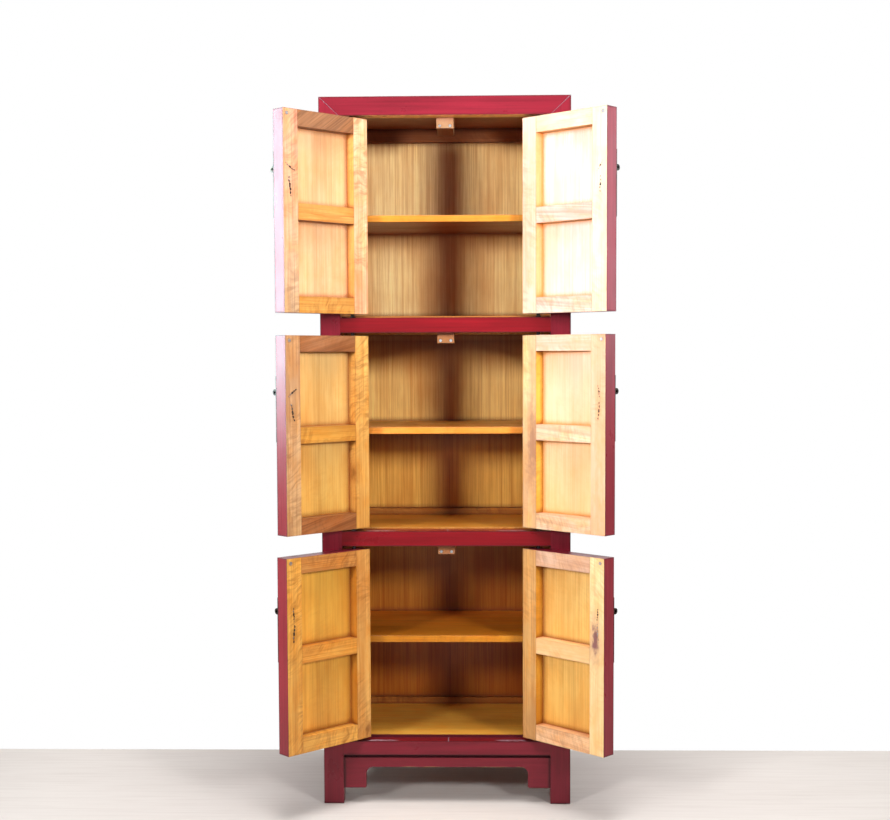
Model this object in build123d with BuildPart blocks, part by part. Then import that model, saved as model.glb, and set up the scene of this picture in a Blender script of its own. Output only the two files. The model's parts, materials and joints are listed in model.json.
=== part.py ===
"""Tall three-tier wedding cabinet: lacquered frame, six pivot-hung doors, three fixed shelves.

Millimetres. X is the width, Y the depth with the doors at -Y, Z is up and 0 is the floor.
The origin lies under the middle of the cabinet as it stands with its doors open.
"""

import os
from math import cos, pi, radians, sin

from build123d import *

# ---------------------------------------------------------------- driving dimensions
# Carcass, outside
width = 650.0
depth = 440.0
post_width = 52.0
front_depth = 42.0  # posts and rails of the face frame, front to back
rear_post_depth = 42.0

# Face frame, from the top down
top_rail_height = 49.0
opening_height = 518.5
mid_rail_height = 39.0
bottom_rail_height = 36.5
leg_height = 131.0  # floor to the underside of the bottom rail
tier_names = ("top", "middle", "bottom")

# Side and rear framing
side_rail_thickness = 28.0
side_panel_thickness = 8.0
side_panel_recess = 6.0
rear_rail_thickness = 30.0
rear_rail_rise = 15.0  # rear rails stand this much above the ledge of their tier
rear_top_rail_height = 55.0
back_panel_thickness = 8.0
back_panel_inset = 7.0  # from the rear face to the panel
top_panel_thickness = 18.0

# Floors, the lips along their front edges, and shelves
floor_thickness = 14.0
floor_drop = 3.0  # floor below the top of the rail in front of it
lip_thickness = 10.0
lip_rise = 4.5  # above the top of the rail
lip_height = 24.0
shelf_thickness = 18.0
shelf_height = 269.5  # top of shelf above the ledge of its tier
shelf_setback = 60.0  # front edge behind the face of the cabinet
batten_thickness = 14.0
batten_height = 22.0
batten_setback = 20.0  # both ends, from the shelf's front and the rear posts

# Base
apron_thickness = 18.0
apron_setback = 4.0
waist_height = 8.5  # recessed strip between bottom rail and apron
waist_setback = 10.0  # behind the face of the apron
apron_band = 25.5  # height of the apron between its spandrels
spandrel_width = 59.5
spandrel_bottom = 41.0  # above the floor
spandrel_radius = 18.0
spandrel_toe_radius = 5.0
post_ease = 1.5

# Catches
catch_width = 44.0
catch_length = 132.0
catch_drop = 27.0  # below the rail above the doors
magnet_radius = 4.0
magnet_bore = 6.0
catch_gap = 0.2  # between a magnet and the strike of a closed door

# Doors
door_thickness = 40.0
side_clearance = 2.5
meeting_gap = 3.0
gap_above = 8.0
gap_below = 9.0
stile_width = 45.0
door_rail_height = 41.0
panel_thickness = 11.5
panel_lap = 8.0  # how far the panel sits in the rebate of its frame
heel_radius = 3.0
pivot_inset = 29.0  # pin centre from the hinge edge
pivot_depth = 11.5  # pin centre behind the outer face
pin_radius = 5.0
pin_in_door = 26.0
pin_in_rail = 14.0
pin_play = 0.1
socket_end_play = 1.0
collar_radius = 8.0
collar_height = 3.0
collar_gap = 0.3

# Doors standing open, degrees from closed, from the top tier down
open_left = (135.4, 135.2, 135.9)
open_right = (138.0, 137.2, 136.5)

# Door hardware
plate_radius = 83.0
plate_thickness = 1.6
plate_rise = 66.0  # plate centre above the door's middle
plate_gap = 1.2  # plate edge behind the free edge of the door
nail_count = 5  # along the rim of each half plate
nail_radius = 2.2
nail_height = 1.2
nail_margin = 6.0  # nail centre from the rim
eye_inset = 20.0  # lock eye and pull eye from the free edge
lock_eye_rise = 42.0  # above the plate centre
lock_eye_reach = 37.0
lock_eye_height = 16.0
lock_eye_thickness = 6.0
lock_hole_radius = 3.5
pull_eye_drop = 6.0  # below the plate centre
pull_eye_reach = 14.0
pull_eye_height = 11.0
pull_eye_thickness = 4.0
pull_pin_radius = 2.0
shank_radius = 2.5
leg_length = 15.0  # split legs of the eyes, bent flat on the inside of the stile
leg_thickness = 1.2
leg_width = 4.0
boss_radius = 11.0
boss_height = 3.0
pull_width = 26.0
pull_length = 56.0
pull_thickness = 3.0
pull_head_width = 13.0
pull_head_rise = 2.6  # above the cross pin
pull_shoulder = 10.0  # from the cross pin down to where the pull widens
pull_waist = 38.0  # from the cross pin down to the widest part
pull_fork = 6.6  # slot in the head, which straddles the eye
strike_radius = 4.5
strike_thickness = 1.0
strike_inset = 12.0  # from the free edge
strike_drop = 12.5  # below the top of the door

# ---------------------------------------------------------------- worked-out dimensions
tiers = len(tier_names)
half = width / 2
post_inner = half - post_width
pivot_x = post_inner - side_clearance - pivot_inset
door_width = post_inner - side_clearance - meeting_gap / 2
door_height = opening_height - gap_above - gap_below
tier_pitch = opening_height + mid_rail_height
bottom_ledge = leg_height + bottom_rail_height
ledges = [bottom_ledge + tier_pitch * (tiers - 1 - n) for n in range(tiers)]
heads = [ledge + opening_height for ledge in ledges]
height = heads[0] + top_rail_height

# The open doors stand out in front, and the origin is under the middle of the whole.
mean_opening = radians(sum(open_left + open_right) / len(open_left + open_right))
door_reach = (
    (door_width - pivot_inset) * sin(mean_opening)
    - (door_thickness - pivot_depth) * cos(mean_opening)
    - pivot_depth
)
front = -(depth - door_reach) / 2
back = front + depth
pivot_y = front + pivot_depth

side_rail_inner = half - side_rail_thickness
side_panel_outer = half - side_panel_recess
side_panel_inner = side_panel_outer - side_panel_thickness
frame_back = front + front_depth
rear_post_front = back - rear_post_depth
rear_rail_front = back - rear_rail_thickness
back_panel_inner = back - back_panel_inset - back_panel_thickness
rail_spans = [
    (heads[0], height),
    *[(heads[n + 1], ledges[n]) for n in range(tiers - 1)],
    (leg_height, bottom_ledge),
]

hands = (("left", -1, open_left), ("right", 1, open_right))

os.makedirs("parts", exist_ok=True)


def save(piece, name):
    """Label a finished sub-part and write its STEP file."""
    piece.part.label = name
    export_step(piece.part, f"parts/{name}.step")


def block(x0, x1, y0, y1, z0, z1, mode=Mode.ADD):
    """A board between two corners, given in the axes of the part being built."""
    with Locations(((x0 + x1) / 2, (y0 + y1) / 2, (z0 + z1) / 2)):
        Box(x1 - x0, y1 - y0, z1 - z0, mode=mode)


# ---------------------------------------------------------------- posts and rails
def front_post(side):
    """Front post, mitred into the top rail; the mitre runs to the outer top corner."""
    outer, inner = side * half, side * post_inner
    with BuildPart() as post:
        with BuildSketch(Plane.XZ.offset(-front)):
            Polygon(
                (outer, 0), (inner, 0), (inner, heads[0]), (outer, height), align=None
            )
        extrude(amount=-front_depth)
        foot = post.faces().sort_by(Axis.Z)[0]
        chamfer(foot.edges(), post_ease)
    return post


def rear_posts():
    with BuildPart() as posts:
        for side in (-1, 1):
            x0, x1 = sorted((side * half, side * post_inner))
            block(x0, x1, rear_post_front, back, 0, height)
        feet = posts.faces().filter_by(Axis.Z).group_by(Axis.Z)[0]
        chamfer(feet.edges(), post_ease)
    return posts


def pin_sockets(level, direction):
    """Blind sockets for one pair of door pins, sunk up or down into a rail."""
    sunk = pin_in_rail + socket_end_play
    middle = level + direction * sunk / 2
    with Locations(*[(side * pivot_x, pivot_y, middle) for side in (-1, 1)]):
        Cylinder(pin_radius + pin_play, sunk, mode=Mode.SUBTRACT)


def top_front_rail():
    with BuildPart() as rail:
        with BuildSketch(Plane.XZ.offset(-front)):
            Polygon(
                (-post_inner, heads[0]),
                (post_inner, heads[0]),
                (half, height),
                (-half, height),
                align=None,
            )
        extrude(amount=-front_depth)
        pin_sockets(heads[0], 1)
    return rail


def mid_front_rail(n):
    """Rail between tiers n and n + 1, socketed for the doors above and below it."""
    with BuildPart() as rail:
        block(-post_inner, post_inner, front, frame_back, heads[n + 1], ledges[n])
        pin_sockets(ledges[n], -1)
        pin_sockets(heads[n + 1], 1)
    return rail


def bottom_front_rail():
    with BuildPart() as rail:
        block(-post_inner, post_inner, front, frame_back, leg_height, bottom_ledge)
        pin_sockets(bottom_ledge, -1)
    return rail


def side_rails():
    with BuildPart() as rails:
        for side in (-1, 1):
            x0, x1 = sorted((side * half, side * side_rail_inner))
            for low, high in rail_spans:
                block(x0, x1, frame_back, rear_post_front, low, high)
    return rails


def rear_rails():
    """Rear rails; the lower ones rise above the floors as a skirting inside."""
    spans = [(height - rear_top_rail_height, height)]
    spans += [(low, high + rear_rail_rise) for low, high in rail_spans[1:]]
    with BuildPart() as rails:
        for low, high in spans:
            block(-post_inner, post_inner, rear_rail_front, back, low, high)
    return rails


# ---------------------------------------------------------------- panels
def side_panels():
    with BuildPart() as panels:
        for side in (-1, 1):
            x0, x1 = sorted((side * side_panel_outer, side * side_panel_inner))
            for ledge, head in zip(ledges, heads):
                block(x0, x1, frame_back, rear_post_front, ledge, head)
    return panels


def back_panels():
    with BuildPart() as panels:
        for n in range(tiers):
            top = height - rear_top_rail_height if n == 0 else heads[n]
            bottom = ledges[n] + rear_rail_rise
            face = back_panel_inner + back_panel_thickness
            block(-post_inner, post_inner, back_panel_inner, face, bottom, top)
    return panels


def top_panel():
    with BuildPart() as panel:
        low = height - top_panel_thickness
        block(-side_rail_inner, side_rail_inner, frame_back, rear_rail_front, low, height)
        notch_rear_posts(low, height)
    return panel


def notch_rear_posts(low, high):
    """Cut a board back to clear the rear posts, which stand inside the side rails."""
    for side in (-1, 1):
        x0, x1 = sorted((side * half, side * post_inner))
        block(x0, x1, rear_post_front, back, low, high, mode=Mode.SUBTRACT)


# ---------------------------------------------------------------- floors, lips, shelves
def floor_boards():
    with BuildPart() as boards:
        for ledge in ledges:
            top = ledge - floor_drop
            low = top - floor_thickness
            start = frame_back + lip_thickness
            block(-side_rail_inner, side_rail_inner, start, rear_rail_front, low, top)
            notch_rear_posts(low, top)
    return boards


def floor_lips():
    """Strips behind the front rails, which edge the floors and stand a little above them."""
    with BuildPart() as lips:
        for ledge in ledges:
            top = ledge + lip_rise
            end = frame_back + lip_thickness
            block(-side_rail_inner, side_rail_inner, frame_back, end, top - lip_height, top)
    return lips


def shelf(n):
    """Fixed shelf of one tier, notched round the rear posts."""
    top = ledges[n] + shelf_height
    low = top - shelf_thickness
    with BuildPart() as board:
        start = front + shelf_setback
        block(-side_panel_inner, side_panel_inner, start, back_panel_inner, low, top)
        notch_rear_posts(low, top)
    return board


def shelf_battens():
    with BuildPart() as battens:
        for side in (-1, 1):
            inner = side_panel_inner - batten_thickness
            x0, x1 = sorted((side * side_panel_inner, side * inner))
            for ledge in ledges:
                top = ledge + shelf_height - shelf_thickness
                start = front + shelf_setback + batten_setback
                end = rear_post_front - batten_setback
                block(x0, x1, start, end, top - batten_height, top)
    return battens


# ---------------------------------------------------------------- catches
def magnet_places(n, behind):
    """Centres of the two magnets of a tier, at a distance behind the face of their block."""
    x = strike_inset + meeting_gap / 2
    z = heads[n] - gap_above - strike_drop
    return [(side * x, frame_back + behind, z) for side in (-1, 1)]


def catch_blocks():
    """One block per tier behind the middle of the rail, bored for two magnets."""
    ceilings = [height - top_panel_thickness]
    ceilings += [ledge - floor_drop - floor_thickness for ledge in ledges[:-1]]
    side = catch_width / 2
    with BuildPart() as blocks:
        for n, (head, ceiling) in enumerate(zip(heads, ceilings)):
            end = frame_back + catch_length
            block(-side, side, frame_back, end, head - catch_drop, ceiling)
            with Locations(*magnet_places(n, magnet_bore / 2)):
                Cylinder(magnet_radius, magnet_bore, rotation=(90, 0, 0), mode=Mode.SUBTRACT)
        # The floor lip of the tier above runs across the front of a block
        for ledge in ledges[:-1]:
            low = ledge + lip_rise - lip_height
            end = frame_back + lip_thickness
            block(-side, side, frame_back, end, low, ledge, mode=Mode.SUBTRACT)
    return blocks


def catch_magnets():
    """Magnets that stand proud of their block and almost touch the strikes."""
    proud = front_depth - door_thickness - strike_thickness - catch_gap
    with BuildPart() as magnets:
        for n in range(tiers):
            with Locations(*magnet_places(n, (magnet_bore - proud) / 2)):
                Cylinder(magnet_radius, magnet_bore + proud, rotation=(90, 0, 0))
    return magnets


# ---------------------------------------------------------------- base
def apron_outline(half_span):
    """Apron with a spandrel at each end, drawn on the current sketch plane."""
    top = leg_height - waist_height
    band = top - apron_band
    inner = half_span - spandrel_width
    Polygon(
        (-half_span, top),
        (-half_span, spandrel_bottom),
        (-inner, spandrel_bottom),
        (-inner, band),
        (inner, band),
        (inner, spandrel_bottom),
        (half_span, spandrel_bottom),
        (half_span, top),
        align=None,
    )


def round_spandrels(piece, along):
    """Round the inner corners under the band and the toes of the spandrels."""
    edges = piece.edges().filter_by(along)
    band = leg_height - waist_height - apron_band
    inner = edges.filter_by(lambda e: abs(e.center().Z - band) < 1e-3)
    fillet(inner, spandrel_radius)
    edges = piece.edges().filter_by(along)
    low = edges.filter_by(lambda e: abs(e.center().Z - spandrel_bottom) < 1e-3)
    across = Axis.X if along == Axis.Y else Axis.Y
    groups = low.group_by(across)
    toes = groups[1] + groups[-2]
    fillet(toes, spandrel_toe_radius)


def front_apron():
    face = front + apron_setback
    rear = face + apron_thickness
    with BuildPart() as apron:
        with BuildSketch(Plane.XZ.offset(-face)):
            apron_outline(post_inner)
        extrude(amount=-apron_thickness)
        round_spandrels(apron, Axis.Y)
        top = leg_height - waist_height
        block(-post_inner, post_inner, face + waist_setback, rear, top, leg_height)
    return apron


def side_apron(side):
    """Apron between the front and rear post of one side."""
    span = rear_post_front - frame_back
    middle = (rear_post_front + frame_back) / 2
    face = side * (half - apron_setback)
    rear = side * (half - apron_setback - apron_thickness)
    waist = side * (half - apron_setback - waist_setback)
    with BuildPart() as apron:
        with BuildSketch(Plane(origin=(face, middle, 0), x_dir=(0, 1, 0), z_dir=(1, 0, 0))):
            apron_outline(span / 2)
        extrude(amount=rear - face)
        round_spandrels(apron, Axis.X)
        x0, x1 = sorted((waist, rear))
        block(x0, x1, frame_back, rear_post_front, leg_height - waist_height, leg_height)
    return apron


# ---------------------------------------------------------------- doors
def door_plane(n, side, angle):
    """Axes of a door: X from the pivot to the free edge, Z up from the door's foot."""
    turn = radians(angle)
    reach = (-side * cos(turn), -sin(turn), 0)
    foot = ledges[n] + gap_below
    return Plane(origin=(side * pivot_x, pivot_y, foot), x_dir=reach, z_dir=(0, 0, 1))


# In a door's axes the outer face looks along +Y on a right-hand door and -Y on a left-hand
# one, so a depth behind the outer face is turned into Y by this function.
def inward(side, behind):
    return -side * (behind - pivot_depth)


def door_block(side, u0, u1, v0, v1, z0, z1, mode=Mode.ADD):
    """A board of a door: u from its hinge edge, v behind its outer face, z from its foot."""
    y0, y1 = sorted((inward(side, v0), inward(side, v1)))
    block(u0 - pivot_inset, u1 - pivot_inset, y0, y1, z0, z1, mode)


def door_rod(side, u, z, v0, v1, radius, mode=Mode.ADD):
    """A round bar through the thickness of a door."""
    y0, y1 = inward(side, v0), inward(side, v1)
    with Locations((u - pivot_inset, (y0 + y1) / 2, z)):
        Cylinder(radius, abs(y1 - y0), rotation=(90, 0, 0), mode=mode)


free_stile = door_width - stile_width
plate_height = door_height / 2 + plate_rise
lock_height = plate_height + lock_eye_rise
pull_height = plate_height - pull_eye_drop
eye_place = door_width - eye_inset


def door_stiles(plane, side):
    with BuildPart(plane) as stiles:
        door_block(side, 0, stile_width, 0, door_thickness, 0, door_height)
        door_block(side, free_stile, door_width, 0, door_thickness, 0, door_height)
        door_block(
            side,
            stile_width - panel_lap,
            free_stile + panel_lap,
            0,
            panel_thickness,
            door_rail_height - panel_lap,
            door_height - door_rail_height + panel_lap,
            Mode.SUBTRACT,
        )
        with Locations((0, 0, pin_in_door / 2), (0, 0, door_height - pin_in_door / 2)):
            Cylinder(pin_radius, pin_in_door, mode=Mode.SUBTRACT)
        for z in (lock_height, pull_height):
            door_rod(side, eye_place, z, 0, door_thickness, shank_radius, Mode.SUBTRACT)
        upright = stiles.edges().filter_by(Axis.Z)
        heel = upright.sort_by_distance(plane.from_local_coords(
            Vertex(-pivot_inset, inward(side, 0), door_height / 2)
        ))[0]
        fillet(heel, heel_radius)
    return stiles


def door_rails(plane, side):
    """Top, middle and bottom rail; the middle one stands behind the panel."""
    levels = (0, (door_height - door_rail_height) / 2, door_height - door_rail_height)
    with BuildPart(plane) as rails:
        for z in levels:
            door_block(side, stile_width, free_stile, 0, door_thickness, z, z + door_rail_height)
        door_block(
            side,
            stile_width,
            free_stile,
            0,
            panel_thickness,
            door_rail_height - panel_lap,
            door_height - door_rail_height + panel_lap,
            Mode.SUBTRACT,
        )
    return rails


def door_panel(plane, side):
    with BuildPart(plane) as panel:
        door_block(
            side,
            stile_width - panel_lap,
            free_stile + panel_lap,
            0,
            panel_thickness,
            door_rail_height - panel_lap,
            door_height - door_rail_height + panel_lap,
        )
    return panel


def pivot_pins(plane):
    """Pins at the foot and head of the hinge stile; the foot pin has a thrust collar."""
    foot_low = -gap_below - pin_in_rail
    head_high = door_height + gap_above + pin_in_rail
    head_low = door_height - pin_in_door
    collar = -gap_below + collar_gap + collar_height / 2
    with BuildPart(plane) as pins:
        with Locations((0, 0, (foot_low + pin_in_door) / 2)):
            Cylinder(pin_radius, pin_in_door - foot_low)
        with Locations((0, 0, collar)):
            Cylinder(collar_radius, collar_height)
        with Locations((0, 0, (head_low + head_high) / 2)):
            Cylinder(pin_radius, head_high - head_low)
    return pins


def eye_axis(side, reach, eye_height):
    """Y of the cross hole of an eye, in the door's axes."""
    return inward(side, -reach + eye_height / 2)


def eye(side, z, reach, eye_height, thickness, hole_radius):
    """A round-ended tongue bored crosswise, its shank, its boss and its two bent legs."""
    u0, u1 = eye_place - thickness / 2, eye_place + thickness / 2
    z0, z1 = z - eye_height / 2, z + eye_height / 2
    door_rod(side, eye_place, z, -plate_thickness - boss_height, 0, boss_radius)
    door_rod(side, eye_place, z, -plate_thickness, door_thickness, shank_radius)
    door_block(side, u0, u1, -reach + eye_height / 2, -plate_thickness, z0, z1)
    end = (eye_place - pivot_inset, eye_axis(side, reach, eye_height), z)
    with Locations(end):
        Cylinder(eye_height / 2, thickness, rotation=(0, 90, 0))
        Cylinder(hole_radius, thickness, rotation=(0, 90, 0), mode=Mode.SUBTRACT)
    u0, u1 = eye_place - leg_width / 2, eye_place + leg_width / 2
    v1 = door_thickness + leg_thickness
    door_block(side, u0, u1, door_thickness, v1, z - leg_length, z + leg_length)


def half_plate(side):
    """Half of a round face plate, centred where the two doors meet, and its nails."""
    edge = door_width - plate_gap
    low, high = plate_height - plate_radius, plate_height + plate_radius
    door_rod(side, edge, plate_height, -plate_thickness, 0, plate_radius)
    door_block(side, edge, edge + plate_radius, -plate_thickness, 0, low, high, Mode.SUBTRACT)
    reach = plate_radius - nail_margin
    margin = nail_margin / reach
    for n in range(nail_count):
        turn = margin + (pi - 2 * margin) * n / (nail_count - 1)
        u = edge - reach * sin(turn)
        z = plate_height + reach * cos(turn)
        door_rod(side, u, z, -plate_thickness - nail_height, 0, nail_radius)


def door_hardware(plane, side):
    """Half plate, lock eye, pull eye and the strike on the inside of the free stile."""
    with BuildPart(plane) as hardware:
        half_plate(side)
        eye(
            side,
            lock_height,
            lock_eye_reach,
            lock_eye_height,
            lock_eye_thickness,
            lock_hole_radius,
        )
        eye(
            side,
            pull_height,
            pull_eye_reach,
            pull_eye_height,
            pull_eye_thickness,
            pull_pin_radius + pin_play,
        )
        u, z = door_width - strike_inset, door_height - strike_drop
        v1 = door_thickness + strike_thickness
        door_rod(side, u, z, door_thickness, v1, strike_radius)
    return hardware


def door_pull(plane, side):
    """Drop pull: a forked head on a cross pin, widening to a rounded tip."""
    axis = eye_axis(side, pull_eye_reach, pull_eye_height)
    pin = (eye_place - pivot_inset, axis, pull_height)
    head, widest = pull_head_width / 2, pull_width / 2
    with BuildPart(plane) as pull:
        with BuildSketch(plane * Plane(origin=pin, x_dir=(1, 0, 0), z_dir=(0, -1, 0))):
            with BuildLine():
                for hand in (-1, 1):
                    Polyline(
                        (0, pull_head_rise), (hand * head, pull_head_rise), (hand * head, -pull_shoulder)
                    )
                    Spline(
                        (hand * head, -pull_shoulder),
                        (hand * widest, -pull_waist),
                        (0, -pull_length),
                        tangents=((0, -1), (-hand, 0)),
                    )
            make_face()
        extrude(amount=pull_thickness / 2, both=True)
        with Locations(pin):
            Box(pull_fork, 2 * pull_thickness, 2 * pull_shoulder, mode=Mode.SUBTRACT)
            Cylinder(pull_pin_radius, pull_head_width, rotation=(0, 90, 0))
    return pull


# ---------------------------------------------------------------- build and write
save(front_post(-1), "front_post_left")
save(front_post(1), "front_post_right")
save(rear_posts(), "rear_posts")
save(top_front_rail(), "top_front_rail")
save(mid_front_rail(0), "upper_mid_rail")
save(mid_front_rail(1), "lower_mid_rail")
save(bottom_front_rail(), "bottom_front_rail")
save(side_rails(), "side_rails")
save(rear_rails(), "rear_rails")
save(side_panels(), "side_panels")
save(back_panels(), "back_panels")
save(top_panel(), "top_panel")
save(floor_boards(), "floor_boards")
save(floor_lips(), "floor_lips")
for n, tier in enumerate(tier_names):
    save(shelf(n), f"{tier}_shelf")
save(shelf_battens(), "shelf_battens")
save(catch_blocks(), "catch_blocks")
save(catch_magnets(), "catch_magnets")
save(front_apron(), "front_apron")
save(side_apron(-1), "side_apron_left")
save(side_apron(1), "side_apron_right")

for n, tier in enumerate(tier_names):
    for hand, side, angles in hands:
        plane = door_plane(n, side, angles[n])
        door = f"{tier}_{hand}_door"
        save(door_stiles(plane, side), f"{door}_stiles")
        save(door_rails(plane, side), f"{door}_rails")
        save(door_panel(plane, side), f"{door}_panel")
        save(pivot_pins(plane), f"{door}_pivots")
        save(door_hardware(plane, side), f"{door}_hardware")
        save(door_pull(plane, side), f"{door}_pull")
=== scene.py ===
import json
import random
from math import cos, pi, radians, sin

import bmesh
import bpy
from mathutils import Matrix, Vector


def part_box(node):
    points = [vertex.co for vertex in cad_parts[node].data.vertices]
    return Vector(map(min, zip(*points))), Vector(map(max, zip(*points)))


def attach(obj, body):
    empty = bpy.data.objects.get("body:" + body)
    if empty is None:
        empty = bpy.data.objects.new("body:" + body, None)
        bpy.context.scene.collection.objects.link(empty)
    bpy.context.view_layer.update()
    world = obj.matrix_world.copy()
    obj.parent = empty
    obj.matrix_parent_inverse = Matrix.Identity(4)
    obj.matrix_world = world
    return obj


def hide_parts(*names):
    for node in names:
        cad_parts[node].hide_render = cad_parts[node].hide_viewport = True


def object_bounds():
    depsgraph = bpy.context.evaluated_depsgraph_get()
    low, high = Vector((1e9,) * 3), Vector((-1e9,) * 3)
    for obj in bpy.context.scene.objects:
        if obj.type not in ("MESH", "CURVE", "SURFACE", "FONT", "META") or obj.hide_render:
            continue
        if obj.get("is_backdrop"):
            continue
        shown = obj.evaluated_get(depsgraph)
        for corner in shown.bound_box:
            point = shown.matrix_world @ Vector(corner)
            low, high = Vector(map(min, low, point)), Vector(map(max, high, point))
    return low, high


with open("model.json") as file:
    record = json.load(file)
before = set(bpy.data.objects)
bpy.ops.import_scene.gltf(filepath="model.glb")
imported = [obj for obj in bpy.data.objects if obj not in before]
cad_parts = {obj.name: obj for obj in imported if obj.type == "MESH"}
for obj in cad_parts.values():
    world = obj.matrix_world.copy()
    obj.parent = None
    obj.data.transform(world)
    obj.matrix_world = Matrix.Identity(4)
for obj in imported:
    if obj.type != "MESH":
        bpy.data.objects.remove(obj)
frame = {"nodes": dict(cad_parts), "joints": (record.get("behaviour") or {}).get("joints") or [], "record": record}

cad_low, cad_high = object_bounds()
rng = random.Random(7)

# ---- colours (linear); pairs are light and dark
CRIMSON = (0.235, 0.014, 0.028), (0.14, 0.0085, 0.0165)
SCARLET = (0.228, 0.0068, 0.0125), (0.15, 0.005, 0.008)
# paler copies of the crimson for the doors' side edges: painted light
LIT_LEFT_EDGE = (0.335, 0.029, 0.042), (0.24, 0.016, 0.024)
LIT_RIGHT_EDGE = (0.3, 0.0285, 0.042), (0.19, 0.016, 0.024)
BRASS = (0.075, 0.055, 0.034), (0.02, 0.016, 0.013)
IRON = (0.16, 0.15, 0.14), (0.05, 0.046, 0.044)
NICKEL = (0.78, 0.78, 0.8), (0.5, 0.5, 0.52)
RUSSET = (0.7, 0.34, 0.145), (0.2, 0.068, 0.02)
FLOOR = (0.72, 0.67, 0.63), (0.54, 0.48, 0.44)
# the lacquer's dark glaze, which also paints the shade in its creases
GLAZE_AND_CREASE_SHADE = (0.045, 0.01, 0.013)
FALLOFF_SHADE = (0.055, 0.02, 0.024)
SCUFF = (0.42, 0.34, 0.4)
WORN_WOOD = (0.4, 0.22, 0.12)
PUTTY = (0.21, 0.155, 0.19)
STEEL = (0.42, 0.38, 0.37)
WHITE = (1.0, 1.0, 1.0)
VARNISH_SHEEN, LACQUER_SHEEN = 0.35, 0.22


# ---- shader helper
class Graph:
    """Short ways to add nodes to a material or world. Each call returns an output socket."""

    def __init__(self, owner):
        owner.use_nodes = True
        self.tree = owner.node_tree

    def put(self, value, socket):
        if isinstance(value, bpy.types.NodeSocket):
            self.tree.links.new(value, socket)
        elif isinstance(value, tuple) and socket.type == "RGBA":
            socket.default_value = (*value, 1.0)
        else:
            socket.default_value = value

    def node(self, kind, inputs, output=0, **settings):
        made = self.tree.nodes.new(kind)
        for key, value in settings.items():
            setattr(made, key, value)
        for key, value in inputs.items():
            self.put(value, made.inputs[key])
        return made.outputs[output]

    def math(self, operation, a, b=0.0, c=0.0, clamp=False):
        inputs = {0: a, 1: b, 2: c}
        return self.node("ShaderNodeMath", inputs, operation=operation, use_clamp=clamp)

    def plus(self, a, b):
        return self.math("ADD", a, b)

    def times(self, a, b):
        return self.math("MULTIPLY", a, b)

    def vector(self, operation, a, b=(0, 0, 0), output=0):
        return self.node("ShaderNodeVectorMath", {0: a, 1: b}, output, operation=operation)

    def split(self, vector):
        made = self.tree.nodes.new("ShaderNodeSeparateXYZ")
        self.put(vector, made.inputs[0])
        return made.outputs[:]

    def join(self, x, y, z):
        return self.node("ShaderNodeCombineXYZ", {0: x, 1: y, 2: z})

    def attribute(self, name, output="Vector"):
        return self.node("ShaderNodeAttribute", {}, output, attribute_name=name)

    def noise(self, vector, along, across, detail=3.0, rough=0.5):
        """Noise with so many features per metre along the grain and across it."""
        stretched = self.vector("MULTIPLY", vector, (along, across, across))
        inputs = {"Vector": stretched, "Scale": 1.0, "Detail": detail, "Roughness": rough}
        return self.node("ShaderNodeTexNoise", inputs)

    def span(self, value, low, high, to_low=0.0, to_high=1.0, smooth=False):
        inputs = {0: value, 1: low, 2: high, 3: to_low, 4: to_high}
        kind = "SMOOTHSTEP" if smooth else "LINEAR"
        return self.node("ShaderNodeMapRange", inputs, interpolation_type=kind)

    def mix(self, share, a, b):
        inputs = {0: share, 6: a, 7: b}
        return self.node("ShaderNodeMix", inputs, 2, data_type="RGBA")

    def scaled(self, colour, factor):
        inputs = {0: colour, "Scale": factor}
        return self.node("ShaderNodeVectorMath", inputs, operation="SCALE")

    def ramp(self, value, stops):
        made = self.tree.nodes.new("ShaderNodeValToRGB")
        line = made.color_ramp
        while len(line.elements) < len(stops):
            line.elements.new(0.5)
        for element, (place, grey) in zip(line.elements, stops):
            element.position = place
            element.color = (grey, grey, grey, 1)
        self.put(value, made.inputs[0])
        return made.outputs[0]

    def bump(self, height, strength, distance):
        inputs = {"Height": height, "Strength": strength, "Distance": distance}
        return self.node("ShaderNodeBump", inputs)

    def crease_shade(self, reach, depth):
        """How deep in a corner a point lies, from ambient occlusion: depth in the corner, 0 beyond its reach. It
        masks painted shade.
        """
        openness = self.node("ShaderNodeAmbientOcclusion", {"Distance": reach}, "AO", samples=6)
        return self.span(openness, 0.92, 0.5, 0.0, depth)


class Coat(Graph):
    """The node graph of a new material."""

    def __init__(self, name):
        self.material = bpy.data.materials.new(name)
        super().__init__(self.material)
        self.shader = self.tree.nodes["Principled BSDF"]

    def finish(self, **sockets):
        for key, value in sockets.items():
            self.put(value, self.shader.inputs[key.replace("_", " ")])
        return self.material


def dimmed(colour, *shares):
    """A colour times one share, or times one share for each channel."""
    return tuple(c * f for c, f in zip(colour, shares * (3 // len(shares))))


def blend(a, b, share):
    """The place between a and b, component by component, where share goes from 0 to 1."""
    return [c + (d - c) * share for c, d in zip(a, b)]


def share_between(low, high, value):
    return min(max((value - low) / (high - low), 0), 1)


# ---- wood
def board_space(g):
    """A board's own coordinates, x along the grain, and the same shifted to its own wood."""
    place = g.attribute("board_place")
    seed = g.attribute("board_seed")
    shifted = g.vector("ADD", place, g.vector("MULTIPLY", seed, (31.0, 17.0, 23.0)))
    return place, seed, shifted


def edge_distance(g, place):
    """Distance to the nearest arris of the board, and to its end."""
    half = g.attribute("board_half")
    dx, dy, dz = g.split(g.vector("SUBTRACT", half, g.vector("ABSOLUTE", place)))
    low, high = g.math("MINIMUM", dx, dy), g.math("MAXIMUM", dx, dy)
    return g.math("MAXIMUM", low, g.math("MINIMUM", high, dz)), dx


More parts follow.
